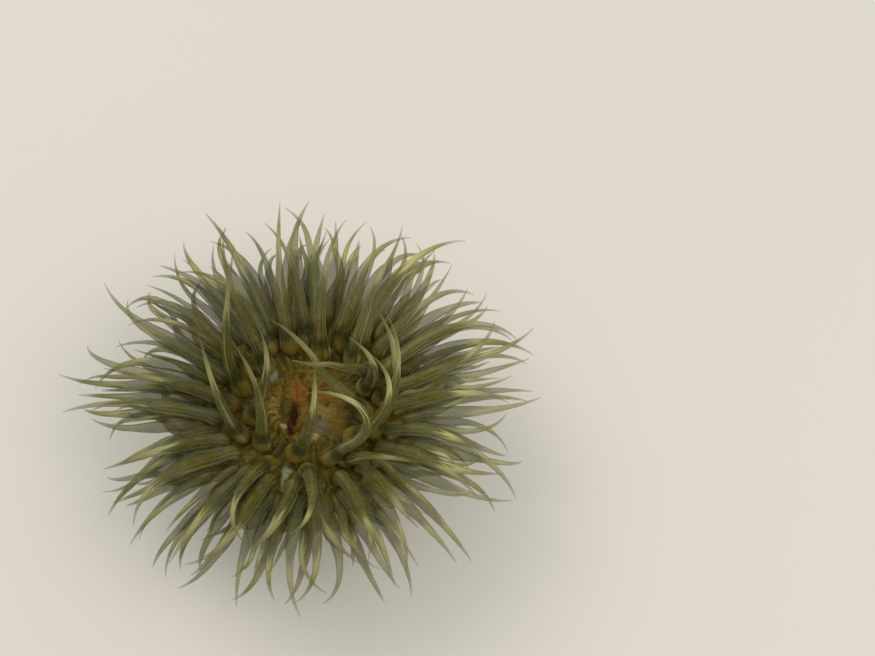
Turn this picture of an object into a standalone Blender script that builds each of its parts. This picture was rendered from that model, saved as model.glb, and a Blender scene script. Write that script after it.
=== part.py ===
"""A burrowing sea anemone, life size, standing on its pedal disc with the tentacle crown spread wide.

Metres, +Z up. The origin is the centre of the pedal disc's flat underside. -Y is the front.
Azimuths are degrees anticlockwise from +X, seen from above.
"""
import math

import bmesh
import bpy
import numpy as np
from mathutils import Vector

# Sizes of the body, from the floor up.
GAP = 0.0003            # clearance between pieces that meet face to face
FOOT_RADIUS = 0.0178    # spread edge of the pedal disc
FOOT_EDGE = 0.0006      # height of that thin edge
FOOT_TUCK = 0.0003      # how far the underside stays inside the edge
FOOT_NECK = 0.0148      # where the column starts on the pedal disc
FOOT_HEIGHT = 0.0028
FOOT_LOBES = ((5, 0.0007, 0.8), (11, 0.0004, 2.1))  # waves round the edge: how many, how far out, phase
WAIST_RADIUS = 0.0130
WAIST_HEIGHT = 0.0096   # the column parts here into its lower and upper length
COLUMN_TOP = 0.0172     # underside of the crown
COLLAR_RADIUS = 0.0196
MARGIN_RADIUS = 0.0213  # rim of the oral disc
DISC_HEIGHT = 0.0226    # oral disc above the floor, at its highest ring
DISC_CREST = 0.45       # where that ring lies, as a share of the disc's radius
DISC_DROP = 0.0013      # how far the disc falls from that ring to its rim
RIM_ROUND = 0.0009      # how far the rim's edges are cut back
INNER_EDGE = 0.0088     # oral disc proper, inside the tentacle bases
MIDDLE_EDGE = 0.0150    # between the inner and the outer tentacle rings
FOOT_ROWS = 4           # rows of points up the pedal disc's slope
COLUMN_ROWS = 6         # rows of points up each length of the column
COLUMN_FURROWS = 24
FURROW_DEPTH = 0.00035
DISC_RIBS = 24
RIB_HEIGHT = 0.00016
DIP_WIDTH = 0.0012      # the disc dips this far inside the first tentacles
DIP_DEPTH = 0.0002

# The mouth, a long oval of two lips across the disc's middle.
MOUTH_LONG = 0.0060     # half length of the lips, front to back
MOUTH_WIDE = 0.0030
MOUTH_RISE = 0.0011     # lips above the disc
MOUTH_DEPTH = 0.0030    # how deep the lips are set in the disc
MOUTH_TURN = 5.0        # degrees the mouth is turned from the front to back line
MOUTH_SHIFT = -0.0020   # how far the mouth sits to the right of the disc's middle
COLLAR_WIDTH = 0.0009   # of the disc's raised edge round the lips
COLLAR_RISE = 0.0005
SLIT_LONG = 0.0044      # half sizes of the slit between the lips
SLIT_WIDE = 0.00045
SLIT_SHARE = 0.10       # share of the way out at which the slit's floor ends
SLIT_FLOOR = 0.0008     # flesh below the slit
LIP_ROWS = (0.16, 0.35, 0.55, 0.78, 1.0)    # shares of the way from the slit to the lips' outer edge
LIP_FALL = 0.0010       # from the lips' crest to that edge
LIP_FOLDS = 12
FOLD_SHARE = 0.05

# The crown: two rings of nodes, each with its tentacles in cycles, as such an animal grows them.
INNER_NODES = 6
OUTER_NODES = 12
FIRST_INNER = 25.5      # azimuth of the middle of the first inner node
FIRST_OUTER = 31.4
RIM_CUTS = 4            # slices of the rim in each node
STEPS = 24              # points along each tentacle's centreline
SINK = 0.0017           # how deep a tentacle is rooted in the disc
SINK_LEAN = 0.30        # how far the sunk root leans along the tentacle, against straight down
SINK_NARROW = 0.8       # thickness of the sunk end, as a share of the tentacle's
RIM_DEPTH = 0.0015      # the lowest cycle leaves the side of the rim, this far below the disc
RING_SPREAD = 0.00025   # how far a root stands off its ring at most
LENGTH_SPREAD = 0.12    # share by which a tentacle is longer or shorter at most
PINCH = 0.40            # share of the thickness that is lost where the shaft ends
PINCH_FROM = 0.40       # that happens between these shares of the length
PINCH_TO = 0.68
POINT = 0.30            # share of the length that draws out to the point
POINT_CURVE = 0.80      # below 1 the point is blunt at first, then quickly fine
TIP = 0.15              # thickness left at the very tip, as a share
BULB = 0.20             # share by which the base is swollen
BULB_PLACE = 0.05       # where the swelling is widest, as a share of the length
BULB_SPREAD = 0.07
STRAY = ((3, 4), (6, 9), (12, 10))  # most degrees aside and up that root, middle and outer part stray
CURL = 85               # most degrees that a tentacle's tip turns aside
CURL_UP = 50            # most degrees that it turns up or down
FRONT_LIFT = 8          # degrees that the frontmost tentacles stand higher than the others
FRONT_SHORT = 0.10      # share by which they are shorter
BUNDLES = ((9, 5.0, 1.0), (14, 2.6, 2.4))   # waves round the crown, degrees of sideways drift, phase
RINGS_FROM = 0.04       # a faceted tentacle's rings stand between these shares of its length
RINGS_TO = 0.97
INNER_SHAPE = (9, 6)    # rings and sides of each faceted tentacle
OUTER_SHAPE = (8, 5)
SEED = 11

# How the tentacles are kept apart.
CLEAR = 0.00056         # distance between two tentacles
ROOT_CROWD = 0.55       # they may crowd at their roots, to this share of their thickness
ROOT_SHARE = 0.22       # share of the length over which that ends
HOLD_SHARE = 0.28       # share of the length over which a tentacle is held by its root
FLOOR_CLEAR = 0.0012    # least height of a hanging tentacle above the floor
LIFT = 0.0004           # most that one round lifts a tentacle off the disc or the floor
LIFT_FROM = 0.17        # share of the length from which it is lifted
ROUNDS = 90
SMOOTHINGS = 6          # passes that spread a push along the tentacle
PUSH = 1.3              # a push goes this much past what is needed, to settle sooner
REPAIR = 10             # rounds between two searches for near neighbours
LOOK_AHEAD = 0.0015     # extra distance at which a search still counts two points as neighbours

# One row for each cycle: root ring, radius at the base, share of it that is lost evenly from base to tip,
# length, and rise in degrees at root, middle and tip.
CYCLES = {
    "first": {"ring": 0.0108, "radius": 0.00136, "taper": 0.55, "length": 0.0300, "rise": (86, 66, 40)},
    "second": {"ring": 0.0120, "radius": 0.00128, "taper": 0.50, "length": 0.0300, "rise": (80, 58, 30)},
    "third": {"ring": 0.0133, "radius": 0.00120, "taper": 0.45, "length": 0.0300, "rise": (70, 46, 22)},
    "fourth": {"ring": 0.0169, "radius": 0.00112, "taper": 0.34, "length": 0.0285, "rise": (56, 26, 6)},
    "fifth": {"ring": 0.0185, "radius": 0.00102, "taper": 0.30, "length": 0.0265, "rise": (36, 6, -8)},
    "sixth": {"ring": 0.0200, "radius": 0.00092, "taper": 0.28, "length": 0.0235, "rise": (14, -16, -14)},
}

# The tentacles of one node of each ring: cycle, and degrees from the node's middle.
INNER_ROW = (("third", -22.5), ("first", -7.5), ("third", 7.5), ("second", 22.5))
OUTER_ROW = (
    ("sixth", -11.4), ("fifth", -8.15), ("fourth", -4.9), ("fifth", -1.63),
    ("sixth", 1.63), ("fifth", 4.9), ("fourth", 8.15), ("fifth", 11.4),
)

# Tentacles over the mouth that bend each their own way: azimuth of the root, then four directions
# (right, back, up) that the tentacle turns through from root to tip, and its length.
POSED = {
    3: ((0.50, 0.00, 1.0), (0.30, 0.10, 1.0), (-0.10, 0.25, 1.0), (-0.50, 0.40, 0.80), 0.0280),
    18: ((0.45, -0.20, 1.0), (0.20, -0.10, 1.0), (-0.05, 0.00, 1.0), (-0.70, 0.15, 0.60), 0.0230),
    33: ((0.10, -0.50, 1.0), (-0.50, -0.40, 1.0), (-1.00, -0.20, 0.40), (-1.00, 0.30, 0.00), 0.0240),
    168: ((-0.50, 0.10, 1.0), (0.15, 0.50, 1.0), (0.15, 0.80, 0.70), (0.15, 0.90, 0.50), 0.0320),
    198: ((0.35, 0.10, 1.0), (0.45, 0.20, 1.0), (0.20, 0.35, 1.0), (-0.35, 0.40, 0.90), 0.0270),
    213: ((-0.45, 0.10, 1.0), (-0.15, 0.30, 1.0), (-0.10, 0.40, 0.90), (-0.10, 0.45, 0.70), 0.0270),
    228: ((0.12, 0.10, 1.0), (0.20, 0.20, 1.0), (-0.10, 0.35, 1.0), (-0.60, 0.60, 0.70), 0.0280),
    243: ((-0.15, -0.50, 1.0), (-0.60, -0.90, 0.60), (-0.30, -1.00, 0.15), (0.80, -0.60, 0.30), 0.0260),
    258: ((0.60, 0.00, 1.0), (0.25, 0.20, 1.0), (0.10, 0.25, 1.0), (0.05, 0.30, 0.90), 0.0290),
    273: ((0.20, -0.40, 1.0), (0.30, -0.90, 0.70), (0.15, -1.00, 0.30), (-0.60, -0.50, 0.60), 0.0260),
    288: ((0.95, -0.10, 1.0), (1.10, 0.25, 0.70), (-0.30, 0.15, 0.30), (-1.00, -0.15, -0.30), 0.0310),
    303: ((0.40, -0.30, 1.0), (0.60, -0.40, 1.0), (1.00, -0.20, 0.50), (1.00, -0.40, 0.10), 0.0210),
    318: ((0.80, -0.20, 1.0), (0.60, 0.15, 1.0), (0.35, 0.25, 1.0), (-0.80, 0.35, 0.60), 0.0295),
    333: ((0.62, 0.10, 1.0), (0.22, 0.35, 1.0), (0.25, 0.45, 1.0), (-0.50, 0.60, 0.70), 0.0310),
    348: ((-0.50, 0.10, 1.0), (-0.70, 0.35, 0.60), (-0.20, 0.60, 0.80), (-0.90, 0.30, 0.10), 0.0295),
}


def clear_scene():
    for obj in list(bpy.data.objects):
        bpy.data.objects.remove(obj)


def linear(hex_colour):
    """An sRGB hex colour as linear red, green, blue and alpha."""
    parts = [int(hex_colour[i:i + 2], 16) / 255 for i in (0, 2, 4)]
    return [c / 12.92 if c <= 0.04045 else ((c + 0.055) / 1.055) ** 2.4 for c in parts] + [1.0]


def flesh(name, hex_colour, roughness):
    material = bpy.data.materials.new(name)
    material.use_nodes = True
    shader = material.node_tree.nodes["Principled BSDF"]
    shader.inputs["Base Color"].default_value = linear(hex_colour)
    shader.inputs["Roughness"].default_value = roughness
    shader.inputs["Metallic"].default_value = 0.0
    return material


def solid(name, vertices, faces, material):
    """A named object from points and faces, facing out and shaded smooth."""
    mesh = bpy.data.meshes.new(name)
    mesh.from_pydata([tuple(v) for v in vertices], [], faces)
    shape = bmesh.new()
    shape.from_mesh(mesh)
    bmesh.ops.recalc_face_normals(shape, faces=shape.faces)
    shape.to_mesh(mesh)
    shape.free()
    mesh.shade_smooth()
    mesh.set_sharp_from_angle(angle=math.radians(50))
    mesh.materials.append(material)
    obj = bpy.data.objects.new(name, mesh)
    bpy.context.scene.collection.objects.link(obj)
    return obj


def turned(name, profile, sides, outline, material):
    """A closed solid from a profile of (radius, height) rows, top first. outline(angle, radius) gives
    each point's distance from the axis. A first or last radius of 0 closes that end in one point."""
    vertices, faces, rows = [], [], []
    for radius, height in profile:
        if radius == 0:
            rows.append([len(vertices)] * sides)
            vertices.append((0, 0, height))
            continue
        rows.append(list(range(len(vertices), len(vertices) + sides)))
        for k in range(sides):
            angle = 2 * math.pi * k / sides
            out = outline(angle, radius)
            vertices.append((out * math.cos(angle), out * math.sin(angle), height))
    for upper, lower in zip(rows, rows[1:]):
        for k in range(sides):
            n = (k + 1) % sides
            ring = [upper[k], upper[n], lower[n], lower[k]]
            faces.append([v for i, v in enumerate(ring) if v not in ring[:i]])
    for row, radius in ((rows[0], profile[0][0]), (rows[-1], profile[-1][0])):
        if radius:
            faces.append(row)
    return solid(name, vertices, faces, material)


def furrowed(angle, radius):
    """The column is drawn in along the lines where its inner walls are fixed."""
    return radius - FURROW_DEPTH * (0.5 + 0.5 * math.cos(COLUMN_FURROWS * angle))


def lobed(angle, radius):
    """The pedal disc spreads unevenly, most at its thin edge."""
    spread = max(0.0, (radius - FOOT_NECK) / (FOOT_RADIUS - FOOT_NECK))
    lobes = sum(out * math.sin(count * angle + phase) for count, out, phase in FOOT_LOBES)
    return furrowed(angle, radius) + spread * lobes


def make_pedal_disc(material):
    slope = []
    for share in np.linspace(0, 1, FOOT_ROWS).tolist():
        radius = FOOT_NECK + (FOOT_RADIUS - FOOT_NECK) * share
        slope.append((radius, FOOT_EDGE + (FOOT_HEIGHT - FOOT_EDGE) * (1 - share) ** 2))
    profile = [(0, FOOT_HEIGHT), *slope, (FOOT_RADIUS - FOOT_TUCK, 0), (0, 0)]
    turned("pedal_disc", profile, 2 * COLUMN_FURROWS, lobed, material)


def column_radius(height):
    """The column spreads at the foot, is drawn in at the waist, and flares out under the crown."""
    if height < WAIST_HEIGHT:
        share = (WAIST_HEIGHT - height) / (WAIST_HEIGHT - FOOT_HEIGHT)
        return WAIST_RADIUS + (FOOT_NECK - WAIST_RADIUS) * share ** 2
    share = (height - WAIST_HEIGHT) / (COLUMN_TOP - WAIST_HEIGHT)
    return WAIST_RADIUS + (COLLAR_RADIUS - WAIST_RADIUS) * share ** 1.8


def make_column(material):
    for name, low, high in (
        ("column_lower", FOOT_HEIGHT + GAP, WAIST_HEIGHT), ("column_upper", WAIST_HEIGHT + GAP, COLUMN_TOP),
    ):
        side = [(column_radius(height), height) for height in np.linspace(high, low, COLUMN_ROWS).tolist()]
        turned(name, [(0, high), *side, (0, low)], 2 * COLUMN_FURROWS, furrowed, material)


def disc_top(radius):
    """Height of the oral disc's upper surface at this distance from its middle."""
    return DISC_HEIGHT - DISC_DROP * ((radius / MARGIN_RADIUS - DISC_CREST) / (1 - DISC_CREST)) ** 2


def mouth_oval(angle, long_side, wide_side):
    """Distance from the mouth's middle to an oval of these half sizes, in this direction."""
    turn = angle - math.radians(90 + MOUTH_TURN)
    return long_side * wide_side / math.hypot(wide_side * math.cos(turn), long_side * math.sin(turn))


def make_oral_disc(material):
    """The ribbed disc between the lips and the innermost tentacles, with a socket for the lips."""
    base = COLUMN_TOP + GAP
    pocket = DISC_HEIGHT - MOUTH_DEPTH
    socket_edge = MOUTH_LONG + COLLAR_WIDTH

    def outline(angle, radius):
        if radius > socket_edge:
            return radius
        grow = radius - MOUTH_LONG + GAP
        return mouth_oval(angle, MOUTH_LONG + grow, MOUTH_WIDE + grow)

    profile = (
        (0, pocket), (MOUTH_LONG, pocket), (MOUTH_LONG, DISC_HEIGHT + COLLAR_RISE),
        (socket_edge, DISC_HEIGHT + COLLAR_RISE), (INNER_EDGE - DIP_WIDTH, disc_top(INNER_EDGE) - DIP_DEPTH),
        (INNER_EDGE, disc_top(INNER_EDGE)), (INNER_EDGE, base), (0, base),
    )
    disc = turned("oral_disc", profile, 2 * DISC_RIBS, outline, material)
    for vertex in disc.data.vertices:
        out = math.hypot(vertex.co.x, vertex.co.y)
        if vertex.co.z > pocket + SLIT_FLOOR:
            vertex.co.z += RIB_HEIGHT * math.cos(DISC_RIBS * math.atan2(vertex.co.y, vertex.co.x))
        vertex.co.x += MOUTH_SHIFT * min(1.0, (INNER_EDGE - out) / (INNER_EDGE - socket_edge - GAP))


def make_mouth(material):
    """Two folded lips round a slit, which is sunk but closed below."""
    base = DISC_HEIGHT - MOUTH_DEPTH + GAP
    bottom = base + SLIT_FLOOR
    crest = [(share, DISC_HEIGHT + MOUTH_RISE - LIP_FALL * (2 * share - 1) ** 2) for share in LIP_ROWS]
    rows = [(0, bottom), (SLIT_SHARE, bottom), *crest, (1.0, base), (0, base)]

    def outline(angle, share):
        folds = 1 + FOLD_SHARE * math.cos(LIP_FOLDS * angle) * (LIP_ROWS[0] < share < LIP_ROWS[-1])
        inner = mouth_oval(angle, SLIT_LONG, SLIT_WIDE)
        outer = mouth_oval(angle, MOUTH_LONG, MOUTH_WIDE)
        return (inner + (outer - inner) * (share - SLIT_SHARE) / (1 - SLIT_SHARE)) * folds

    lips = turned("mouth_lips", rows, 2 * DISC_RIBS, outline, material)
    for vertex in lips.data.vertices:
        vertex.co.x += MOUTH_SHIFT


def wedge(name, inner, outer, middle, span, material):
    """A sector of the disc's thick rim, on which tentacles stand."""
    base = COLUMN_TOP + GAP
    section = [(radius, disc_top(radius)) for radius in (inner + GAP, (inner + outer) / 2)]
    if outer == MARGIN_RADIUS:
        section += [(outer - RIM_ROUND, disc_top(outer)), (outer, disc_top(outer) - RIM_ROUND)]
        section += [(outer, base + 2 * RIM_ROUND), (COLLAR_RADIUS + GAP, base)]
    else:
        section += [(outer, disc_top(outer)), (outer, base)]
    section += [(inner + GAP, base)]
    vertices, faces = [], []
    for k in range(RIM_CUTS + 1):
        swing = -1 + 2 * k / RIM_CUTS
        for radius, height in section:
            angle = math.radians(middle) + swing * (math.radians(span / 2) - GAP / 2 / radius)
            vertices.append((radius * math.cos(angle), radius * math.sin(angle), height))
    n = len(section)
    for k in range(RIM_CUTS):
        for i in range(n):
            j = (i + 1) % n
            faces.append([k * n + i, k * n + j, (k + 1) * n + j, (k + 1) * n + i])
    faces.append(list(range(n)))
    faces.append([RIM_CUTS * n + i for i in range(n)])
    return solid(name, vertices, faces, material)


def aim(azimuth, rise):
    """The unit direction with this azimuth and rise, in degrees."""
    yaw, pitch = math.radians(azimuth), math.radians(rise)
    return np.array([math.cos(pitch) * math.cos(yaw), math.cos(pitch) * math.sin(yaw), math.sin(pitch)])


def centreline(root, leans, length):
    """Points of a curve of this length that starts at root and turns smoothly through these directions."""
    leans = [np.array(lean, float) / np.linalg.norm(lean) for lean in leans]
    points = [np.array(root, float)]
    for k in range(STEPS - 1):
        t = (k + 0.5) / (STEPS - 1)
        blend = leans
        while len(blend) > 1:
            blend = [(1 - t) * a + t * b for a, b in zip(blend, blend[1:])]
        points.append(points[-1] + blend[0] / np.linalg.norm(blend[0]) * length / (STEPS - 1))
    return np.array(points)


def thickness(form):
    """Radius along a tentacle: a swollen base, a shaft that thins a little, then a long slender end."""
    t = np.linspace(0, 1, STEPS)
    shaft = 1 - form["taper"] * t + BULB * np.exp(-((t - BULB_PLACE) / BULB_SPREAD) ** 2)
    share = np.clip((t - PINCH_FROM) / (PINCH_TO - PINCH_FROM), 0, 1)
    pinch = 1 - PINCH * share * share * (3 - 2 * share)
    point = np.clip((1 - t) / POINT, 0, 1) ** POINT_CURVE
    return form["radius"] * shaft * pinch * (TIP + (1 - TIP) * point)


def grow(cycle, azimuth, node, draw):
    """One tentacle: its node, its centreline, its radii, and the way that its root goes down."""
    form = CYCLES[cycle]
    shift = draw.uniform(-1, 1, 8)
    ring = form["ring"] + RING_SPREAD * shift[0]
    height = disc_top(ring) - (RIM_DEPTH if cycle == "sixth" else 0)
    root = (ring * math.cos(math.radians(azimuth)), ring * math.sin(math.radians(azimuth)), height)
    front = max(0.0, -math.sin(math.radians(azimuth)))
    rise = [angle + FRONT_LIFT * front for angle in form["rise"]]
    drift = sum(size * math.sin(waves * math.radians(azimuth) + phase) for waves, size, phase in BUNDLES)
    root_stray, middle_stray, outer_stray = STRAY
    leans = (
        aim(azimuth + root_stray[0] * shift[1], rise[0] + root_stray[1] * shift[2]),
        aim(azimuth + drift + middle_stray[0] * shift[1], rise[1] + middle_stray[1] * shift[2]),
        aim(azimuth + 2 * drift + outer_stray[0] * shift[3], rise[2] + outer_stray[1] * shift[4]),
        aim(azimuth + 2 * drift + CURL * shift[6], rise[2] + CURL_UP * shift[7]),
    )
    length = form["length"] * (1 + LENGTH_SPREAD * shift[5]) * (1 - FRONT_SHORT * front)
    posed = POSED.get(round(azimuth))
    if posed and cycle in ("first", "second", "third"):
        leans, length = posed[:4], posed[4]
    below = leans[0] if cycle == "sixth" else np.array(leans[0]) * SINK_LEAN + (0, 0, 1)
    return {
        "node": node, "below": below / np.linalg.norm(below), "points": centreline(root, leans, length),
        "radii": thickness(form), "step": length / (STEPS - 1),
    }


def crown():
    """Every tentacle of the crown, before they are moved apart."""
    draw = np.random.default_rng(SEED)
    grown = []
    for ring, nodes, first, row in (
        ("inner", INNER_NODES, FIRST_INNER, INNER_ROW), ("outer", OUTER_NODES, FIRST_OUTER, OUTER_ROW),
    ):
        for k in range(nodes):
            middle = first + 360 / nodes * k
            for cycle, offset in row:
                grown.append(grow(cycle, (middle + offset) % 360, f"tentacles_{ring}_{k + 1:02d}", draw))
    return grown


def neighbours(flat, reach, owner):
    """Pairs of points on different tentacles that lie near enough to meet within a few rounds."""
    points = flat.astype(np.float32)
    square = (points ** 2).sum(1)
    apart = square[:, None] + square[None, :] - 2 * points @ points.T
    wanted = (reach[:, None] + reach[None, :] + CLEAR + LOOK_AHEAD).astype(np.float32)
    return np.nonzero((apart < wanted ** 2) & (owner[:, None] < owner[None, :]))


def move_apart(grown):
    """Pushes tentacles off one another, off the disc and off the floor, keeping each one's length."""
    points = np.array([g["points"] for g in grown])
    radii = np.array([g["radii"] for g in grown])
    steps = np.array([g["step"] for g in grown])[:, None]
    owner = np.repeat(np.arange(len(grown)), STEPS)
    t = np.linspace(0, 1, STEPS)
    free = np.clip(t / HOLD_SHARE, 0, 1)[None, :]
    reach = (radii * np.clip(ROOT_CROWD + (1 - ROOT_CROWD) * t / ROOT_SHARE, 0, 1)).ravel()
    for turn in range(ROUNDS):
        flat = points.reshape(-1, 3)
        if turn % REPAIR == 0:
            close, mate = neighbours(flat, reach, owner)
        wanted = reach[close] + reach[mate] + CLEAR
        near = ((flat[close] - flat[mate]) ** 2).sum(1) < wanted ** 2
        a, b, wanted = close[near], mate[near], wanted[near]
        away = flat[a] - flat[b]
        distance = np.maximum(np.linalg.norm(away, axis=1), 1e-6)
        push = away / distance[:, None] * (0.5 * (wanted - distance))[:, None]
        moved = np.zeros_like(flat)
        hits = np.zeros(len(flat))
        for index, sign in ((a, 1), (b, -1)):
            np.add.at(moved, index, sign * push)
            np.add.at(hits, index, 1)
        moved = (moved / np.maximum(np.sqrt(hits), 1)[:, None]).reshape(points.shape)
        for _ in range(SMOOTHINGS):
            ends = np.concatenate([moved[:, :1], moved, moved[:, -1:]], axis=1)
            moved = (ends[:, :-2] + 2 * ends[:, 1:-1] + ends[:, 2:]) / 4
        points = points + PUSH * moved * free[:, :, None]
        out = np.hypot(points[:, :, 0], points[:, :, 1])
        ground = np.where(out < MARGIN_RADIUS + RIM_ROUND, DISC_HEIGHT, FLOOR_CLEAR) + radii
        points[:, :, 2] += np.clip(ground - points[:, :, 2], 0, LIFT) * (t > LIFT_FROM)[None, :]
        for k in range(1, STEPS):
            line = points[:, k] - points[:, k - 1]
            points[:, k] = points[:, k - 1] + line / np.linalg.norm(line, axis=1)[:, None] * steps
    for g, line in zip(grown, points):
        g["points"] = line
    return grown


def tube(points, radii, sides):
    """Points and faces of a closed tapering tube that ends in a point."""
    vertices, faces = [], []
    side = Vector((0, 0, 1)).cross(points[1] - points[0])
    side = side if side.length > 1e-7 else Vector((1, 0, 0))
    for k, (centre, radius) in enumerate(zip(points[:-1], radii)):
        along = (points[k + 1] - points[max(k - 1, 0)]).normalized()
        side = (side - along * side.dot(along)).normalized()
        up = along.cross(side)
        for s in range(sides):
            angle = 2 * math.pi * s / sides
            vertices.append(centre + radius * (math.cos(angle) * side + math.sin(angle) * up))
    for k in range(len(points) - 2):
        for s in range(sides):
            n = (s + 1) % sides
            faces.append([k * sides + s, k * sides + n, (k + 1) * sides + n, (k + 1) * sides + s])
    last = (len(points) - 2) * sides
    vertices.append(points[-1])
    faces += [[last + s, last + (s + 1) % sides, len(vertices) - 1] for s in range(sides)]
    faces.append(list(range(sides)))
    return vertices, faces


def tentacle_solid(g, shape, material):
    """The faceted tentacle, with its root sunk in the disc."""
    rings, sides = shape
    where = np.concatenate([[0.0], np.linspace(RINGS_FROM, RINGS_TO, rings), [1.0]]) * (STEPS - 1)
    index = np.arange(STEPS)
    points = [Vector([np.interp(w, index, g["points"][:, i]) for i in range(3)]) for w in where]
    radii = [float(np.interp(w, index, g["radii"])) for w in where]
    points[0] = points[0] - Vector(g["below"]) * SINK
    radii[0] *= SINK_NARROW
    return solid("tentacle", *tube(points, radii, sides), material)


def fuse(base, pieces):
    """Joins the pieces to base in one closed surface, and keeps only the largest."""
    group = bpy.data.collections.new("fused")
    bpy.context.scene.collection.children.link(group)
    for piece in pieces:
        bpy.context.scene.collection.objects.unlink(piece)
        group.objects.link(piece)
    join = base.modifiers.new("join", "BOOLEAN")
    join.operation = "UNION"
    join.operand_type = "COLLECTION"
    join.collection = group
    join.solver = "EXACT"
    with bpy.context.temp_override(object=base, active_object=base, selected_objects=[base]):
        bpy.ops.object.modifier_apply(modifier=join.name)
    for piece in pieces:
        bpy.data.objects.remove(piece)
    bpy.data.collections.remove(group)
    keep_largest(base.data)


def keep_largest(mesh):
    """Deletes every separate surface of a mesh but the one with the most faces."""
    shape = bmesh.new()
    shape.from_mesh(mesh)
    left, islands = set(shape.faces), []
    while left:
        island, edge = set(), [left.pop()]
        while edge:
            face = edge.pop()
            island.add(face)
            for link in {f for e in face.edges for f in e.link_faces} & left:
                left.remove(link)
                edge.append(link)
        islands.append(island)
    biggest = max(islands, key=len)
    bmesh.ops.delete(shape, geom=[f for i in islands if i is not biggest for f in i], context="FACES")
    shape.to_mesh(mesh)
    shape.free()


def make_crown(material):
    """The tentacle-bearing rim in sectors, each fused with its own tentacles."""
    grown = move_apart(crown())
    for ring, nodes, first, inner, outer, shape in (
        ("inner", INNER_NODES, FIRST_INNER, INNER_EDGE, MIDDLE_EDGE, INNER_SHAPE),
        ("outer", OUTER_NODES, FIRST_OUTER, MIDDLE_EDGE, MARGIN_RADIUS, OUTER_SHAPE),
    ):
        for k in range(nodes):
            name = f"tentacles_{ring}_{k + 1:02d}"
            base = wedge(name, inner, outer, first + 360 / nodes * k, 360 / nodes, material)
            fuse(base, [tentacle_solid(g, shape, material) for g in grown if g["node"] == name])


def main():
    clear_scene()
    skin = flesh("column_skin", "8A7A5C", 0.45)
    disc = flesh("disc_skin", "6E4F2A", 0.40)
    make_pedal_disc(skin)
    make_column(skin)
    make_oral_disc(disc)
    make_mouth(flesh("lip_skin", "8A4A22", 0.35))
    make_crown(flesh("tentacle_skin", "6F7150", 0.30))


main()
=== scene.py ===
"""A burrowing sea anemone, life size, standing on its pedal disc with its crown spread.

Metres, +Z up, -Y the front. Azimuths are degrees anticlockwise from +X, seen from above.
"""

import math

import bpy
import numpy as np
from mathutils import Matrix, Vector, noise


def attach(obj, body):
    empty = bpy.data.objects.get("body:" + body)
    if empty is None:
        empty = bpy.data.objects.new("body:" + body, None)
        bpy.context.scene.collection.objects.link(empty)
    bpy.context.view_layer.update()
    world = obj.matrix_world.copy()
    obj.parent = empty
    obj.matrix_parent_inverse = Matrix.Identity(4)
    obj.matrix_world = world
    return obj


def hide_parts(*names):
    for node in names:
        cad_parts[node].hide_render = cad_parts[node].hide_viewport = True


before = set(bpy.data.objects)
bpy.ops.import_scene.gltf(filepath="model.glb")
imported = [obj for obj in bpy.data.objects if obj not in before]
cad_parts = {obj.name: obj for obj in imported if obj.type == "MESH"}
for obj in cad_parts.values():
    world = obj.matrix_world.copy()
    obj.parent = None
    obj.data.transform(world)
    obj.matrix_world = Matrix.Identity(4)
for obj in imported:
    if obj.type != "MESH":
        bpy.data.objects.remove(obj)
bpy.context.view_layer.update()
scene = bpy.context.scene


# The view. The photograph looks down on the crown from in front, at 60 degrees, and the oral disc
# lies left of the picture's middle and below it. A moderate lens close by gives the same foreshortening.
PICTURE = (875, 656)            # pixels
DISC_PIXEL = (307, 405)         # where the middle of the oral disc shows
FOCAL_PIXELS = 1110
VIEW_RISE = math.radians(60)
DISC_DISTANCE = 0.211           # from the lens to the oral disc
DISC_HEIGHT = 0.0226            # oral disc above the floor, at its highest ring
SENSOR_WIDTH = 36               # mm
NEAREST = 0.01                  # what is nearer to the lens isn't shown


def put(name, data):
    """A new object with this data, put in the scene."""
    made = bpy.data.objects.new(name, data)
    scene.collection.objects.link(made)
    return made


across = (PICTURE[0] / 2 - DISC_PIXEL[0]) * DISC_DISTANCE / FOCAL_PIXELS
behind = (DISC_PIXEL[1] - PICTURE[1] / 2) * DISC_DISTANCE / FOCAL_PIXELS / math.sin(VIEW_RISE)
look = Vector((0, math.cos(VIEW_RISE), -math.sin(VIEW_RISE)))
distance = DISC_DISTANCE + behind * math.cos(VIEW_RISE)
lens = bpy.data.cameras.new("photo_view")
lens.sensor_width = SENSOR_WIDTH
lens.lens = SENSOR_WIDTH * FOCAL_PIXELS / PICTURE[0]
lens.clip_start = NEAREST
camera = put("photo_view", lens)
camera.location = Vector((across, behind, DISC_HEIGHT)) - look * distance
camera.rotation_euler = (math.pi / 2 - VIEW_RISE, 0, 0)
scene.camera = camera
scene.view_settings.view_transform = "Standard"


# The studio light. Two large soft boxes and a pale sky, as for photographing a wet specimen without hard
# glints. The key stands behind on the left, and the fill, about as strong, in front on the right.
LIGHTS = {  # place, size, watts
    "key_light": ((-0.32, 0.26, 0.55), 0.40, 1.8),
    "fill_light": ((0.42, -0.20, 0.62), 0.50, 2.8),
}
SKY = "F5F3ED"
SKY_STRENGTH = 0.76
LAMP_WHITE = "FFFAF0"


def linear(hex_colour):
    """An sRGB hex colour as linear red, green, blue and alpha."""
    parts = [int(hex_colour[i:i + 2], 16) / 255 for i in (0, 2, 4)]
    return [c / 12.92 if c <= 0.04045 else ((c + 0.055) / 1.055) ** 2.4 for c in parts] + [1.0]


def plug(node, sockets):
    """Sets a node's inputs. Each takes a number, a hex colour or another node's output."""
    for socket, value in sockets.items():
        if isinstance(value, bpy.types.NodeSocket):
            node.id_data.links.new(value, node.inputs[socket])
        else:
            node.inputs[socket].default_value = linear(value) if isinstance(value, str) else value


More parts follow.
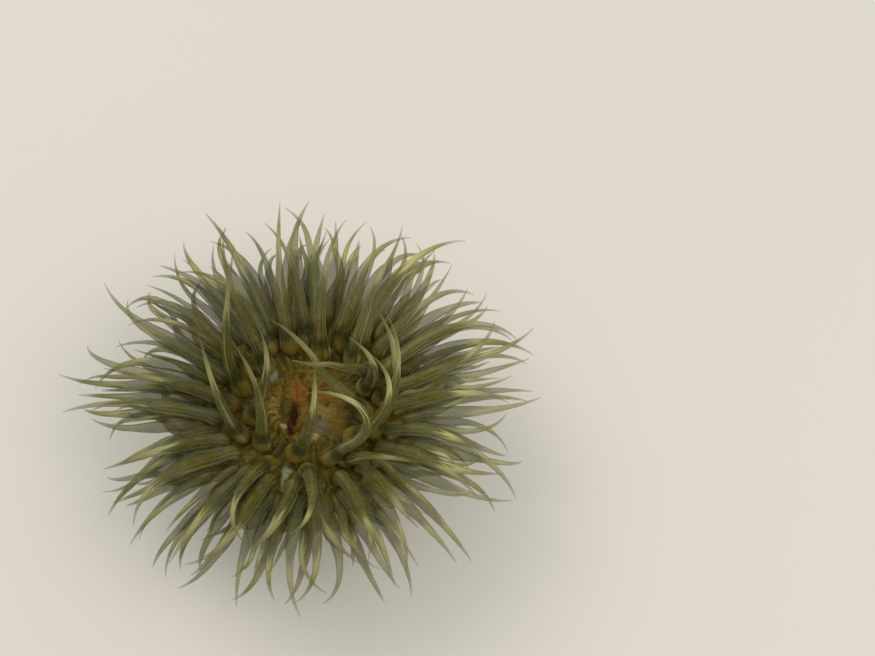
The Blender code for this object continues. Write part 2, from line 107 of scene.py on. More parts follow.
for name, (place, size, watts) in LIGHTS.items():
    box = bpy.data.lights.new(name, "AREA")
    box.size = size
    box.energy = watts
    box.color = linear(LAMP_WHITE)[:3]
    lamp = put(name, box)
    lamp.location = place
    lamp.rotation_euler = (Vector((0, 0, DISC_HEIGHT)) - Vector(place)).to_track_quat("-Z", "Y").to_euler()
sky = bpy.data.worlds.new("pale_sky")
sky.use_nodes = True
plug(sky.node_tree.nodes["Background"], {"Color": SKY, "Strength": SKY_STRENGTH})
scene.world = sky


# The floor is plain pale matt card, and isn't part of the animal.
FLOOR_HALF = 4.0
FLOOR_COLOUR = "C6C4BE"
CARD_ROUGHNESS = 0.9


def new_material(name):
    """A new material, its node tree and its shader."""
    made = bpy.data.materials.new(name)
    made.use_nodes = True
    return made, made.node_tree, made.node_tree.nodes["Principled BSDF"]


card, tree, shader = new_material("matt_card")
plug(shader, {"Base Color": FLOOR_COLOUR, "Roughness": CARD_ROUGHNESS})
corners = [(x * FLOOR_HALF, y * FLOOR_HALF, 0) for x, y in ((-1, -1), (1, -1), (1, 1), (-1, 1))]
sheet = bpy.data.meshes.new("floor")
sheet.from_pydata(corners, [], [range(4)])
sheet.materials.append(card)
floor = put("floor", sheet)


# The body's skin: one unbroken sheet of flesh over mouth, lips, oral disc, rim, column and pedal disc.
# It is thin and moist, and drawn in along the lines where the inner walls hold it. It is made as rows of
# points, from the slit of the mouth out over the rim and down to the middle of the underside.
FOOT_RADIUS = 0.0178
FOOT_EDGE = 0.0006              # thickness at the edge
FOOT_TUCK = 0.0003              # the edge turns under by this much
FOOT_NECK = 0.0148
FOOT_HEIGHT = 0.0028
FOOT_LOBES = ((5, 0.0007, 0.8), (11, 0.0004, 2.1))  # waves round the edge: how many, how far out, phase
SOLE_MIDDLE = 0.0004            # radius of the last row
WAIST_RADIUS = 0.0130
WAIST_HEIGHT = 0.0096
COLUMN_TOP = 0.0172
COLLAR_RADIUS = 0.0196
MARGIN_RADIUS = 0.0213
DISC_CREST = 0.45               # share of the radius where the disc is highest
DISC_DROP = 0.0013              # from there to the rim
RIM_ROUND = 0.0009
INNER_EDGE = 0.0088             # radius of the bare disc inside the first tentacles
MOUTH_LONG = 0.0060             # half lengths and half widths of lips and slit
MOUTH_WIDE = 0.0030
SLIT_LONG = 0.0044
SLIT_WIDE = 0.00045
MOUTH_RISE = 0.0011
MOUTH_TURN = 5.0                # degrees
MOUTH_SHIFT = -0.0020
SLIT_DEPTH = 0.0014
SLIT_LOWEST = 0.0002            # below the disc's crest, once its walls are softened
SLIT_FLOOR = (0.02, 0.5, 0.95)  # shares of the slit's size where its floor has rows
WALL_SHARE = 0.14               # share of the way out over the lips that is the slit's wall
WALL_CURVE = 0.6
WALL_FALL = 0.52                # share of LIP_FALL at the wall's top
LIP_FALL = 0.0010
GROOVE_RISE = 0.0002            # a groove lies between the lips and a low collar round them
GROOVE_DEPTH = 0.0003
COLLAR_WIDTH = 0.0009
COLLAR_RISE = 0.0005
FURROWS = 24                    # walls that hold the column and disc
FURROW_DEPTH = 0.00035
FURROW_TOP = (0.0012, 0.0006)   # above the column's top, and over what height they come in
SKIN_SIDES = 384                # points round each row of the skin
DISC_ROWS = 44
DISC_FADE = 10                  # rows over which the disc passes into the side
SOFTENING = 5                   # passes that round off the corners of the whole outline
WALL_SOFTENING = 26
RIBS = (  # raised lines of the disc: where they come in, height, waves round it, how far and often they sway
    ((0.0040, 0.0065), 0.00016, FURROWS, 0, 0),
    ((0.0045, 0.0070), 0.00003, 3 * FURROWS, 2, 7),
    ((0.0085, 0.0110), 0.00007, 2 * FURROWS, 1, 5),
)
LIP_FOLDS = ((0.06, 12, 0.7, 3), (0.02, 31, 1, 5))  # share of the radius, then waves as above
LIP_CREASES = (0.00010, 17, 1.3, 4)
SIDE_CREASES = (0.00007, 4 * FURROWS, 3, 5)
LIP_IN, LIP_OUT = (8, 14), (26, 33)                 # rows between which the lips come in and die out
GAPE_OUT, SHUT_OUT, BEND_OUT, RED_AND_SHADE_OUT = (10, 18), (10, 20), (12, 30), (6, 22)  # and these forms die out
WALL_ROWS, LIP_ROW = 30, 20     # rows up to the lips' top, and the row that the shut lips rise to
SLIT_GAPE = 0.9                 # the slit's width where it gapes, and where it is shut
SLIT_SHUT = 0.3
GAPE_STARTS = (-0.0048, -0.0030)                    # it comes open between these places, front to back
GAPE_ENDS = (-0.0034, 0.0004)   # and closes between these
SHUT_FROM = (-0.0012, 0.0008)   # the lips rise to meet over it between these
SHUT_RISE = 0.85
# The slit's red is its dark throat with painted shade in the recess.
SHUT_PALE = 0.75                # share of the slit's red that is hidden there
SLIT_BENDS = ((0.00026, 0.0012), (0.00010, 0.00043))    # its edges sway aside: how far, over what length
FRONT_BEND = (0.0003, 0.0045)
CREASES = ((0.0013, 2.6, 0.00011), (0.00045, 1.6, 0.00004))     # loose skin: spacing, upward squeeze, depth
CRUMPLES = (0.0019, 0.00026)    # larger folds of the disc near the mouth: spacing, depth
WANDER = (0.0014, 0.00022)      # and how the ribs and lips stray there
NEAR_MOUTH = (0.0055, 0.0085)


def between(low, high, share):
    """The value this share of the way from low to high."""
    return low + (high - low) * share


def step(low, high, values):
    """0 below low, 1 above high, and a smooth rise between."""
    share = np.clip((values - low) / (high - low), 0, 1)
    return share * share * (3 - 2 * share)


def smoothed(values, passes):
    """A row of numbers with its corners rounded off, ends kept."""
    values = np.array(values, float)
    for _ in range(passes):
        values[1:-1] = (values[:-2] + 2 * values[1:-1] + values[2:]) / 4
    return values


def disc_top(radius):
    """Height of the oral disc's upper surface at this distance from its middle."""
    return DISC_HEIGHT - DISC_DROP * ((radius / MARGIN_RADIUS - DISC_CREST) / (1 - DISC_CREST)) ** 2


def column_radius(height):
    """The column spreads at the foot, is drawn in at the waist, and flares out under the crown."""
    if height < WAIST_HEIGHT:
        share = (WAIST_HEIGHT - height) / (WAIST_HEIGHT - FOOT_HEIGHT)
        return between(WAIST_RADIUS, FOOT_NECK, share ** 2)
    share = (height - WAIST_HEIGHT) / (COLUMN_TOP - WAIST_HEIGHT)
    return between(WAIST_RADIUS, COLLAR_RADIUS, share ** 1.8)


def mouth_rows():
    """Rows of the slit, lips and disc: half length, half width, height, and share of the mouth's shift."""
    slit_floor, lip_top = DISC_HEIGHT - SLIT_DEPTH, DISC_HEIGHT + MOUTH_RISE
    rows = [(SLIT_LONG * share, SLIT_WIDE * share, slit_floor, 1) for share in SLIT_FLOOR]
    walls = [(share, between(slit_floor, lip_top - LIP_FALL * WALL_FALL, (share / WALL_SHARE) ** WALL_CURVE))
             for share in np.linspace(0, WALL_SHARE, 8)[1:]]
    lips = [(share, lip_top - LIP_FALL * (2 * share - 1) ** 2)
            for share in np.linspace(WALL_SHARE, 1, 22)[1:]]
    for share, height in walls + lips:
        rows.append((between(SLIT_LONG, MOUTH_LONG, share), between(SLIT_WIDE, MOUTH_WIDE, share), height, 1))
    for share in np.linspace(0, 1, 7)[1:]:
        groove = GROOVE_DEPTH * math.sin(math.pi * share)
        height = DISC_HEIGHT + between(GROOVE_RISE, COLLAR_RISE, share) - groove
        rows.append((MOUTH_LONG + COLLAR_WIDTH * share, MOUTH_WIDE + COLLAR_WIDTH * share, height, 1))
    long, wide, height, _ = rows[-1]
    for share in np.linspace(0, 1, 18)[1:]:
        ease = step(0, 1, share)
        rows.append((between(long, INNER_EDGE, share), between(wide, INNER_EDGE, share),
                     between(height, disc_top(INNER_EDGE), ease), 1 - ease))
    return rows


def turned_rows():
    """Radius and height of the rows from the first tentacles out over the rim and down to the underside."""
    rows = [(r, disc_top(r)) for r in np.linspace(INNER_EDGE, MARGIN_RADIUS - RIM_ROUND, DISC_ROWS)[1:]]
    bend, level = MARGIN_RADIUS - RIM_ROUND, disc_top(MARGIN_RADIUS) - RIM_ROUND
    for turn in np.linspace(math.pi / 2, 0, 8)[1:]:
        rows.append((bend + RIM_ROUND * math.cos(turn), level + RIM_ROUND * math.sin(turn)))
    low = COLUMN_TOP + 2 * RIM_ROUND
    rows += [(MARGIN_RADIUS, h) for h in np.linspace(level, low, 5)[1:]]
    for share in np.linspace(0, 1, 8)[1:]:
        rows.append((between(MARGIN_RADIUS, COLLAR_RADIUS, share ** 1.5), between(low, COLUMN_TOP, share)))
    rows += [(column_radius(h), h) for h in np.linspace(COLUMN_TOP, FOOT_HEIGHT, 62)[1:]]
    for share in np.linspace(0, 1, 16)[1:]:
        fall = (1 - share) ** 2
        rows.append((between(FOOT_NECK, FOOT_RADIUS, share), between(FOOT_EDGE, FOOT_HEIGHT, fall)))
    for turn in np.linspace(0, math.pi / 2, 5)[1:]:
        rows.append((FOOT_RADIUS - FOOT_TUCK * (1 - math.cos(turn)), FOOT_EDGE * (1 - math.sin(turn))))
    return rows + [(r, 0.0) for r in np.linspace(FOOT_RADIUS - FOOT_TUCK, SOLE_MIDDLE, 9)[1:]]


def ripple(angle, size, waves, sway, turns):
    """Waves round the animal whose crests sway from side to side."""
    return size * np.cos(waves * angle + sway * np.sin(turns * angle))


def skin_points():
    """Rows of the skin's points, and how far each belongs to the disc, the lips, the side and the slit."""
    rows = mouth_rows()
    disc_end = len(rows) + DISC_ROWS
    rows += [(radius, radius, height, 0) for radius, height in turned_rows()]
    longs, wides, heights = (smoothed([row[k] for row in rows], SOFTENING) for k in range(3))
    heights[:WALL_ROWS] = smoothed(heights[:WALL_ROWS], WALL_SOFTENING)
    heights[:WALL_ROWS] = np.maximum(heights[:WALL_ROWS], DISC_HEIGHT - SLIT_LOWEST)
    shifts = np.array([row[3] for row in rows])[:, None]
    angle = (np.arange(SKIN_SIDES) * 2 * np.pi / SKIN_SIDES)[None, :]
    turn = angle - math.radians(90 + MOUTH_TURN)
    a, b, level = longs[:, None], wides[:, None], heights[:, None]
    out = a * b / np.hypot(b * np.cos(turn), a * np.sin(turn))
    order = np.arange(len(rows))[:, None]
    disc = (order < disc_end) * (1 - step(disc_end - DISC_FADE, disc_end, order))
    lips = step(*LIP_IN, order) * (1 - step(*LIP_OUT, order))
    below = step(0, FURROW_TOP[1], COLUMN_TOP + FURROW_TOP[0] - level)     # 1 on column and foot
    foot = step(FOOT_NECK, FOOT_RADIUS, a) * (level < FOOT_HEIGHT) * below
    side = below * (level > FOOT_EDGE)

    # Folds and lobes that the solids have too, then the skin's finer creases and ribs.
    out = out * (1 + lips * sum(ripple(angle, *fold) for fold in LIP_FOLDS))
    out = out - below * FURROW_DEPTH * (0.5 + 0.5 * np.cos(FURROWS * angle))
    out = out + foot * sum(far * np.sin(count * angle + phase) for count, far, phase in FOOT_LOBES)
    out = out + side * ripple(angle, *SIDE_CREASES)
    lift = disc * sum(step(*comes, out) * ripple(angle, *rib) for comes, *rib in RIBS)
    lift = lift + lips * ripple(angle, *LIP_CREASES)
    points = np.stack([out * np.cos(angle) + MOUTH_SHIFT * shifts, out * np.sin(angle), level + lift], axis=2)

    # The slit gapes in front and is shut behind, and its edges bend.
    deep = points[:, :, 1]
    opened = step(*GAPE_STARTS, deep) * (1 - step(*GAPE_ENDS, deep))
    gape = between(SLIT_SHUT, SLIT_GAPE, opened)
    points[:, :, 0] += (points[:, :, 0] - MOUTH_SHIFT) * (gape - 1) * (1 - step(*GAPE_OUT, order))
    shut = step(*SHUT_FROM, deep)
    closing = SHUT_RISE * shut * (1 - step(*SHUT_OUT, order))
    points[:, :, 2] += closing * np.maximum(heights[LIP_ROW] - points[:, :, 2], 0)
    bend = sum(far * np.sin(deep / length) for far, length in SLIT_BENDS)
    bend -= FRONT_BEND[0] * step(0, FRONT_BEND[1], -deep)
    points[:, :, 0] += bend * (1 - step(*BEND_OUT, order))
    # The slit's near-black red: the throat's own colour with painted shade in its recess.
    throat_red_and_shade = (1 - step(*RED_AND_SHADE_OUT, order)) * (1 - SHUT_PALE * shut)
    return points, disc + 0 * angle, lips + 0 * angle, side + 0 * angle, throat_red_and_shade


def tube_faces(rows, sides):
    """Four-sided faces between rows of points that each close in a ring."""
    corners = ((0, 0), (1, 0), (1, 1), (0, 1))
    return [tuple((i + down) * sides + (k + along) % sides for down, along in corners)
            for i in range(rows - 1) for k in range(sides)]


points, disc_share, lip_share, side_share, slit_share = skin_points()
rows = len(points)
for i in range(rows):
    for k in range(SKIN_SIDES):
        x, y, z = points[i, k]
        if z < FOOT_EDGE:
            continue
        depth = sum(size * noise.noise(Vector((x, y, z * squeeze)) / gap) for gap, squeeze, size in CREASES)
        if disc_share[i, 0] > 0:
            near = float(1 - step(*NEAR_MOUTH, math.hypot(x, y)))
            depth += CRUMPLES[1] * noise.noise(Vector((x, y, z)) / CRUMPLES[0]) * near
            stray = noise.noise_vector(Vector((x, y, 0)) / WANDER[0]) * WANDER[1] * near
            points[i, k] += (stray.x, stray.y, 0)
        if side_share[i, 0] > 0.5:
            points[i, k] += np.array((x, y, 0)) / math.hypot(x, y) * depth
        else:
            points[i, k, 2] += depth

skin = bpy.data.meshes.new("anemone_body")
first = rows * SKIN_SIDES
faces = tube_faces(rows, SKIN_SIDES)
for k in range(SKIN_SIDES):
    n = (k + 1) % SKIN_SIDES
    faces += [(first, k, n), (first + 1, first - SKIN_SIDES + n, first - SKIN_SIDES + k)]
ends = [points[0].mean(0), points[-1].mean(0)]
skin.from_pydata(np.concatenate([points.reshape(-1, 3), ends]).tolist(), [], faces)
skin.shade_smooth()
for name, share in (("disc", disc_share), ("lips", lip_share), ("slit", slit_share)):
    values = np.concatenate([share.ravel(), [share[0, 0], share[-1, 0]]])
    skin.attributes.new(name, "FLOAT", "POINT").data.foreach_set("value", values.astype(np.float32))
body = put("anemone_body", skin)


def add(kind, sockets=None, output=0, stops=(), **settings):
    """Adds a shader node to the material being made, with its settings and links, and gives one of its
    outputs. Stops are the places and hex colours of a colour ramp."""
    made = tree.nodes.new("ShaderNode" + kind)
    for name, value in settings.items():
        setattr(made, name, value)
    for k, (at, colour) in enumerate(stops):
        stop = made.color_ramp.elements[k] if k < 2 else made.color_ramp.elements.new(at)
        stop.position, stop.color = at, linear(colour)
    plug(made, sockets or {})
    return made.outputs[output]


def mm(size):
    """A noise scale that gives features of about this many millimetres."""
    return 1000 / size


# Anemone flesh on the body. Moist living tissue, IOR near sea water's: a soft, dim gloss over colour
# that lies inside the skin, so light spreads a millimetre or so before it comes out.
BUFF, BUFF_PALE, UMBER = "8C7C5C", "AA9C7C", "66563A"
RIM_OLIVE, RIM_DARK, RIM_LINE = "564C12", "3A2E08", "6E652A"
DISC_SHADE, DISC_BROWN, DISC_OCHRE, DISC_ORANGE, DISC_GREEN = "33290C", "584610", "745F1E", "7C4E12", "42441A"
DISC_CREAM, DISC_MAUVE, LIP_BROWN, SLIT_RED_AND_SHADE = "8C7E48", "635E52", "5C3A10", "331A08"
DISC_MAROON, OLIVE_CREAM, RIGHT_OCHRE, TOP_OLIVE = "371C04", "7C6C34", "6A581C", "5C4D12"
BLUE_GREY, WHITE_GREY, FLECK_WHITE = "7E8E78", "8A8F72", "8B855E"
DISC_STOPS = (
    (0.30, DISC_SHADE), (0.42, DISC_BROWN), (0.50, DISC_OCHRE), (0.57, DISC_BROWN), (0.70, DISC_SHADE),
)
BAR_WAVES = 30                  # pale bars on the disc, if they went all round it
RIM_WALLS = 48                  # pale lines over the inner walls
SWERVE = 9                      # radians that the mottling turns bars and lines aside
EASED = {"interpolation_type": "SMOOTHSTEP"}
COLOURS = {"data_type": "RGBA"}
PATCHES = (  # torn ovals of one colour on the disc: middle, half size, colour, strength, the lowest first
    ((-0.0026, 0.0079), (0.0028, 0.0018), TOP_OLIVE, 0.8),
    ((0.0068, -0.0045), (0.0028, 0.0019), RIGHT_OCHRE, 0.85),
    ((0.0033, -0.0014), (0.0032, 0.0021), OLIVE_CREAM, 0.85),
    ((0.0026, -0.0046), (0.0020, 0.0027), DISC_MAUVE, 0.85),
    ((-0.0017, 0.0018), (0.0019, 0.0034), DISC_ORANGE, 0.95),
    ((0.0032, 0.0012), (0.0026, 0.0015), DISC_ORANGE, 0.8),
    ((-0.0041, -0.0010), (0.0015, 0.0040), DISC_GREEN, 0.9),
    ((-0.0027, -0.0043), (0.0013, 0.0040), DISC_MAROON, 1.0),
)
BARS = ((-0.0062, -0.0014), (0.0019, 0.0036))       # where the pale bars show: middle, half size
FLECKS = (  # single pale flecks: middle, half size
    ((-0.0039, 0.0048), (0.00035, 0.00030)), ((-0.0041, -0.0045), (0.00075, 0.00065)),
    ((0.0019, -0.0067), (0.00080, 0.00060)), ((0.0051, -0.0069), (0.00070, 0.00050)),
)
RIM_PATCHES = (  # blue-grey and whitish spots between the first tentacles, laid over the rim's colour
    ((-0.0068, 0.0062), (0.0014, 0.0020), BLUE_GREY, 0.9),
    ((-0.0029, -0.0134), (0.0016, 0.0008), WHITE_GREY, 0.9),
    ((-0.0031, -0.0144), (0.0008, 0.0014), WHITE_GREY, 0.9),
    ((-0.0035, -0.0158), (0.0005, 0.0022), WHITE_GREY, 0.8),
)
flesh, tree, shader = new_material("moist_flesh")
place = add("TexCoord", output="Object")
x, y, z = (add("SeparateXYZ", {0: place}, k) for k in range(3))
disc_area, lip_area, slit_area = (
    add("Attribute", output="Fac", attribute_name=name) for name in ("disc", "lips", "slit")
)
flat_place = add("CombineXYZ", {0: x, 1: y})
from_axis = add("VectorMath", {0: flat_place}, "Value", operation="LENGTH")
azimuth = add("Math", {0: y, 1: x}, operation="ARCTAN2")
streak_place = add("VectorMath", {0: place, 1: (1, 1, 0.12)}, operation="MULTIPLY")
streaks, clouds, mottle, flecks, grains = (
    add("TexNoise", {"Vector": where, "Scale": mm(size), "Detail": detail, "Roughness": rough})
    for where, size, detail, rough in (
        (streak_place, 0.9, 4, 0.5), (place, 2.2, 4, 0.6), (place, 1.7, 4, 0.55), (place, 0.6, 3, 0.5),
        (place, 0.35, 2, 0.5),
    )
)
swerve = add("Math", {0: mottle, 1: SWERVE}, operation="MULTIPLY")
turns = (
    add("Math", {0: azimuth, 1: waves, 2: aside}, operation="MULTIPLY_ADD")
    for waves, aside in ((FURROWS, 0), (BAR_WAVES, swerve), (RIM_WALLS, swerve))
)
furrow, bars, rays = (add("Math", {0: turn}, operation="COSINE") for turn in turns)

# Column and foot: buff with paler streaks, darker in the furrows, and olive towards the rim.
column_colour = BUFF
for follows, low, high, most, laid in (
    (streaks, 0.30, 0.70, 1, BUFF_PALE), (furrow, 0.0, 1.0, 0.35, UMBER), (clouds, 0.5, 0.75, 0.3, UMBER),
    (z, COLUMN_TOP - 0.006, COLUMN_TOP + 0.003, 0.85, RIM_OLIVE),
):
    share = add("MapRange", {0: follows, 1: low, 2: high, 4: most}, **EASED)
    column_colour = add("Mix", {0: share, 6: column_colour, 7: laid}, 2, **COLOURS)

# Rim under the tentacles: dark olive with broken pale lines where the inner walls are fixed.
walls = add("MapRange", {0: rays, 1: 0.45, 2: 1.0, 4: 0.75}, **EASED)
broken = add("MapRange", {0: flecks, 1: 0.40, 2: 0.56}, **EASED)
walls = add("Math", {0: walls, 1: broken}, operation="MULTIPLY")
rim_colour = add("ValToRGB", {0: clouds}, stops=((0.38, RIM_OLIVE), (0.60, RIM_DARK)))
rim_colour = add("Mix", {0: walls, 6: rim_colour, 7: RIM_LINE}, 2, **COLOURS)
on_rim = add("MapRange", {0: from_axis, 1: 0.0068, 2: 0.0092}, **EASED)

# Disc: mottled from dark olive through ochre to orange brown, with single patches, bars and pale flecks.
torn = add("Math", {0: mottle, 1: -1.6, 2: 0.8}, operation="MULTIPLY_ADD")
worn = add("MapRange", {0: flecks, 1: 0.34, 2: 0.50, 3: 0.7, 4: 1}, **EASED)
lip_worn = add("MapRange", {0: mottle, 1: 0.40, 2: 0.56, 3: 0.55, 4: 0.05}, **EASED)
lip_worn = add("Math", {0: lip_area, 1: lip_worn}, operation="MULTIPLY")


def patch(middle, half, strength=1.0, edge=0.35):
    """How strongly a torn oval patch of the disc covers each place."""
    away = add("VectorMath", {0: flat_place, 1: (*middle, 0)}, operation="SUBTRACT")
    away = add("VectorMath", {0: away, 1: (*half, 1)}, operation="DIVIDE")
    away = add("VectorMath", {0: away}, "Value", operation="LENGTH")
    away = add("Math", {0: away, 1: torn}, operation="ADD")
    return add("MapRange", {0: away, 1: edge, 2: 1.0, 3: strength, 4: 0}, **EASED)


bars = add("MapRange", {0: bars, 1: 0.0, 2: 0.8}, **EASED)
broken = add("MapRange", {0: flecks, 1: 0.38, 2: 0.54, 3: 0.1, 4: 0.7}, **EASED)
for share in (broken, patch(*BARS)):
    bars = add("Math", {0: bars, 1: share}, operation="MULTIPLY")
dark = add("MapRange", {0: flecks, 1: 0.32, 2: 0.47, 3: 0.26, 4: 0}, **EASED)
pale = add("MapRange", {0: grains, 1: 0.60, 2: 0.74, 4: 0.3}, **EASED)
# The slit: the throat's dark red with painted shade in the recess, ragged at its edges by the mottling.
slit_red_and_shade = add("Math", {0: mottle, 1: 1.4, 2: -0.6}, operation="MULTIPLY_ADD")
slit_red_and_shade = add("Math", {0: slit_area, 1: slit_red_and_shade}, operation="SUBTRACT")
slit_red_and_shade = add("MapRange", {0: slit_red_and_shade, 1: -0.1, 2: 1.0, 4: 0.92}, **EASED)
layers = [(lip_worn, LIP_BROWN)]
for middle, half, colour, strength in PATCHES:
    inside = add("Math", {0: patch(middle, half, strength), 1: worn}, operation="MULTIPLY")
    layers.append((inside, colour))
layers += [(bars, DISC_CREAM), (dark, DISC_SHADE), (pale, DISC_CREAM)]
layers += [(patch(middle, half, edge=0.6), FLECK_WHITE) for middle, half in FLECKS]
layers += [(slit_red_and_shade, SLIT_RED_AND_SHADE), (on_rim, rim_colour)]
layers += [(patch(middle, half, strength), colour) for middle, half, colour, strength in RIM_PATCHES]
disc_colour = add("ValToRGB", {0: mottle}, stops=DISC_STOPS)
for share, laid in layers:
    disc_colour = add("Mix", {0: share, 6: disc_colour, 7: laid}, 2, **COLOURS)
body_colour = add("Mix", {0: disc_area, 6: column_colour, 7: disc_colour}, 2, **COLOURS)

# The finish: a soft gloss on the column, dulled by slime on the disc, and none in the slit.
gloss = add("MapRange", {0: grains, 1: 0.3, 2: 0.7, 3: 0.32, 4: 0.46})
slime = add("MapRange", {0: grains, 1: 0.3, 2: 0.7, 3: 0.55, 4: 0.72})
gloss = add("MapRange", {0: disc_area, 3: gloss, 4: slime})
gloss = add("MapRange", {0: slit_area, 3: gloss, 4: 0.9})
folds = add("Bump", {"Strength": 0.6, "Distance": 0.0004, "Height": mottle})
pores = add("Bump", {"Strength": 0.5, "Distance": 0.00008, "Height": grains, "Normal": folds})
plug(shader, {
    "Base Color": body_colour, "Roughness": gloss, "Normal": pores, "IOR": 1.38, "Specular IOR Level": 0.22,
    "Subsurface Weight": 0.35, "Subsurface Radius": (1.0, 0.6, 0.35), "Subsurface Scale": 0.0012,
})
skin.materials.append(flesh)

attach(body, "root")
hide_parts("pedal_disc", "column_lower", "column_upper", "oral_disc", "mouth_lips")


# The tentacles' courses. Like all such animals it grows them in cycles of 6, 6, 12, 24, 48 and 96, the
# oldest and longest nearest the mouth. 72 of the last cycle are finer, and grow between the others.
INNER_NODES = 6
OUTER_NODES = 12
FIRST_INNER = 25.5              # degrees
FIRST_OUTER = 31.4
STEPS = 24                      # points of a centreline
SINK = 0.0017                   # how far a root goes down into the body
SINK_LEAN = 0.30
RIM_DEPTH = 0.0015              # the sixth cycle grows from the rim's side, this far down
RING_SPREAD = 0.00025
LENGTH_SPREAD = 0.12
STRAY = ((3, 4), (6, 9), (12, 10))      # degrees aside and up at the root, the middle and further out
CURL = 85                       # degrees that a tip turns aside, and up, at most
CURL_UP = 50
FRONT_LIFT = 8                  # degrees
FRONT_SHORT = 0.10
BUNDLES = ((9, 5.0, 1.0), (14, 2.6, 2.4))           # neighbours lean together: waves, degrees, phase
SEED = 11
CLEAR = 0.00056                 # gap kept between neighbours
ROOT_CROWD = 0.55               # share of the thickness that counts at the root, where they crowd
ROOT_SHARE = 0.22               # share of the length over which all of it comes to count
HOLD_SHARE = 0.28               # share of the length that gives way less than the rest
FLOOR_CLEAR = 0.0012
LIFT = 0.0004                   # most that the disc or floor lifts a point in one round
LIFT_FROM = 0.17                # share of the length from which on they do
ROUNDS = 90
SMOOTHINGS = 6
PUSH = 1.3
PAIR_EVERY = 10                 # rounds after which neighbours are found anew
LOOK_AHEAD = 0.0015
PINCH = 0.40                    # the shaft thins by this share between these places
PINCH_FROM = 0.40
PINCH_TO = 0.68
POINT = 0.30                    # share of the length that runs out to the point
POINT_CURVE = 0.80
TIP = 0.15                      # share of the thickness left at its end
BULB = 0.38                     # the swollen base: how much thicker, where, how long
BULB_PLACE = 0.05
BULB_SPREAD = 0.07

FORM = ("ring", "radius", "taper", "length", "rise")    # rise in degrees at root, middle and end
CYCLES = {name: dict(zip(FORM, form)) for name, *form in (
    ("first", 0.0108, 0.00136, 0.55, 0.0300, (86, 66, 40)),
    ("second", 0.0120, 0.00128, 0.50, 0.0300, (80, 58, 30)),
    ("third", 0.0133, 0.00120, 0.45, 0.0300, (70, 46, 22)),
    ("fourth", 0.0169, 0.00112, 0.34, 0.0285, (56, 26, 6)),
    ("fifth", 0.0185, 0.00102, 0.30, 0.0265, (36, 6, -8)),
    ("sixth", 0.0200, 0.00092, 0.28, 0.0235, (14, -16, -14)),
    ("fine", 0.0193, 0.00078, 0.28, 0.0235, (34, 10, 0)),
)}
INNER_ROW = (("third", -22.5), ("first", -7.5), ("third", 7.5), ("second", 22.5))
OUTER_ROW = (
    ("sixth", -11.4), ("fifth", -8.15), ("fourth", -4.9), ("fifth", -1.63),
    ("sixth", 1.63), ("fifth", 4.9), ("fourth", 8.15), ("fifth", 11.4),
)
FINE_ROW = (("fine", -13.2), ("fine", -9.8), ("fine", -3.3), ("fine", 0.0), ("fine", 3.3), ("fine", 9.8))
POSED = {  # tentacles over the mouth, by azimuth: the ways they point from root to tip, then their length
    3: ((0.50, 0.00, 1.0), (0.30, 0.10, 1.0), (-0.10, 0.25, 1.0), (-0.50, 0.40, 0.80), 0.0280),
    18: ((0.45, -0.20, 1.0), (0.20, -0.10, 1.0), (-0.05, 0.00, 1.0), (-0.70, 0.15, 0.60), 0.0230),
    33: ((0.10, -0.50, 1.0), (-0.50, -0.40, 1.0), (-1.00, -0.20, 0.40), (-1.00, 0.30, 0.00), 0.0240),
    168: ((-0.50, 0.10, 1.0), (0.15, 0.50, 1.0), (0.15, 0.80, 0.70), (0.15, 0.90, 0.50), 0.0320),
    198: ((0.35, 0.10, 1.0), (0.45, 0.20, 1.0), (0.20, 0.35, 1.0), (-0.35, 0.40, 0.90), 0.0270),
    213: ((-0.45, 0.10, 1.0), (-0.15, 0.30, 1.0), (-0.10, 0.40, 0.90), (-0.10, 0.45, 0.70), 0.0270),
    228: ((0.12, 0.10, 1.0), (0.20, 0.20, 1.0), (-0.10, 0.35, 1.0), (-0.60, 0.60, 0.70), 0.0280),
    243: ((-0.15, -0.50, 1.0), (-0.60, -0.90, 0.60), (-0.30, -1.00, 0.15), (0.80, -0.60, 0.30), 0.0260),
    258: ((0.60, 0.00, 1.0), (0.25, 0.20, 1.0), (0.10, 0.25, 1.0), (0.05, 0.30, 0.90), 0.0290),
    273: ((0.20, -0.40, 1.0), (0.30, -0.90, 0.70), (0.15, -1.00, 0.30), (-0.60, -0.50, 0.60), 0.0260),
    288: ((0.95, -0.10, 1.0), (1.10, 0.25, 0.70), (-0.30, 0.15, 0.30), (-1.00, -0.15, -0.30), 0.0310),
    303: ((0.40, -0.30, 1.0), (0.60, -0.40, 1.0), (1.00, -0.20, 0.50), (1.00, -0.40, 0.10), 0.0210),
    318: ((0.80, -0.20, 1.0), (0.60, 0.15, 1.0), (0.35, 0.25, 1.0), (-0.80, 0.35, 0.60), 0.0295),
    333: ((0.62, 0.10, 1.0), (0.22, 0.35, 1.0), (0.25, 0.45, 1.0), (-0.50, 0.60, 0.70), 0.0310),
    348: ((-0.50, 0.10, 1.0), (-0.70, 0.35, 0.60), (-0.20, 0.60, 0.80), (-0.90, 0.30, 0.10), 0.0295),
}


def aim(azimuth, rise):
    """The unit direction with this azimuth and rise, in degrees."""
    yaw, pitch = math.radians(azimuth), math.radians(rise)
    return np.array([math.cos(pitch) * math.cos(yaw), math.cos(pitch) * math.sin(yaw), math.sin(pitch)])


def centreline(root, leans, length):
    """Points of a curve of this length that starts at root and turns smoothly through these directions."""
    leans = [np.array(lean, float) / np.linalg.norm(lean) for lean in leans]
    points = [np.array(root, float)]
    for k in range(STEPS - 1):
        t = (k + 0.5) / (STEPS - 1)
        blend = leans
        while len(blend) > 1:
            blend = [(1 - t) * a + t * b for a, b in zip(blend, blend[1:])]
        points.append(points[-1] + blend[0] / np.linalg.norm(blend[0]) * length / (STEPS - 1))
    return np.array(points)


